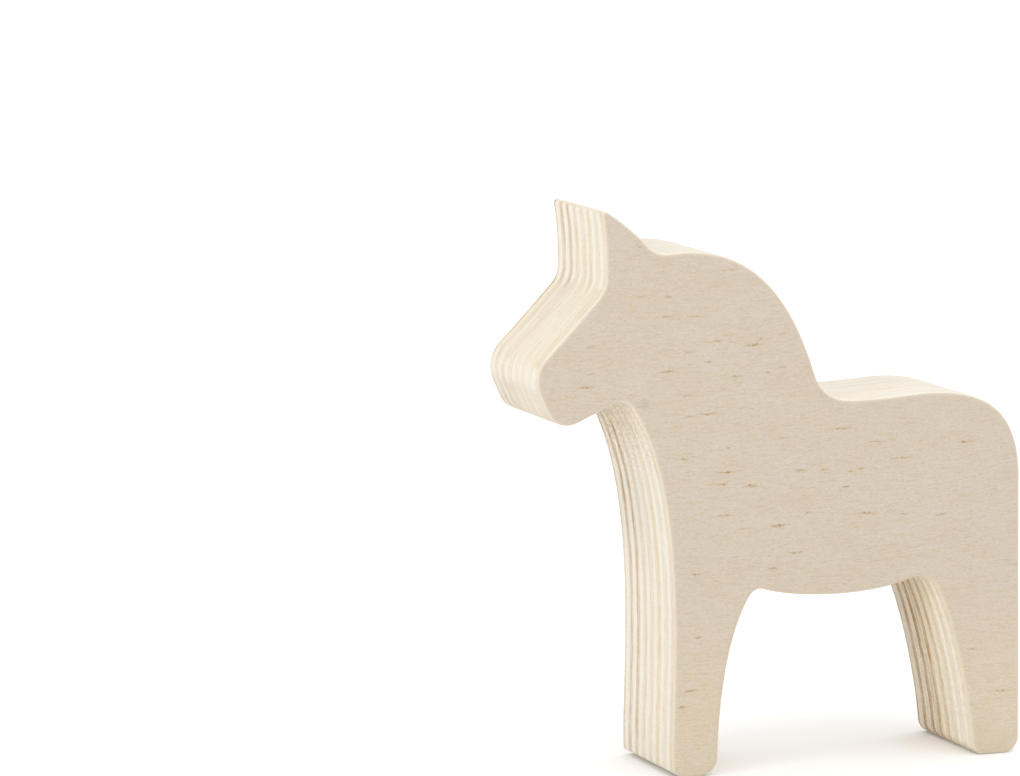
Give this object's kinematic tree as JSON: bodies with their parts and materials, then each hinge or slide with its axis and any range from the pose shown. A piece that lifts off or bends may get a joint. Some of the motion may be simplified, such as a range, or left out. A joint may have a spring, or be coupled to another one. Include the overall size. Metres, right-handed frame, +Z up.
{
  "type": "plywood dala horse",
  "caption": "Flat standing horse ornament sawn from birch plywood: pointed ear, arched neck, straight back, broad legs and softened edges.",
  "frame": {"origin": "on the ground, under the middle of the horse's length and thickness", "axes": "+Z up; -X towards the nose, +X towards the rump; Y across the thickness, -Y is the horse's left face"},
  "size_m": [0.0821, 0.021, 0.0891],
  "materials": {
    "face_birch": "bare, sanded birch face veneer, grain along the horse, matt",
    "long_grain_birch": "bare birch veneer with its grain along the horse, seen as end grain on the upright edges",
    "upright_grain_birch": "bare birch veneer with its grain up and down, seen as long grain on the upright edges",
    "glue": "hard cured glue line, tan, matt"
  },
  "bodies": {
    "root": {"left_face_veneer": "face_birch", "glue_film_01": "glue", "upright_grain_veneer_02": "upright_grain_birch", "glue_film_02": "glue", "long_grain_veneer_03": "long_grain_birch", "glue_film_03": "glue", "upright_grain_veneer_04": "upright_grain_birch", "glue_film_04": "glue", "long_grain_veneer_05": "long_grain_birch", "glue_film_05": "glue", "upright_grain_veneer_06": "upright_grain_birch", "glue_film_06": "glue", "long_grain_veneer_07": "long_grain_birch", "glue_film_07": "glue", "upright_grain_veneer_08": "upright_grain_birch", "glue_film_08": "glue", "long_grain_veneer_09": "long_grain_birch", "glue_film_09": "glue", "upright_grain_veneer_10": "upright_grain_birch", "glue_film_10": "glue", "long_grain_veneer_11": "long_grain_birch", "glue_film_11": "glue", "upright_grain_veneer_12": "upright_grain_birch", "glue_film_12": "glue", "long_grain_veneer_13": "long_grain_birch", "glue_film_13": "glue", "upright_grain_veneer_14": "upright_grain_birch", "glue_film_14": "glue", "right_face_veneer": "face_birch"}
  },
  "joints": []
}
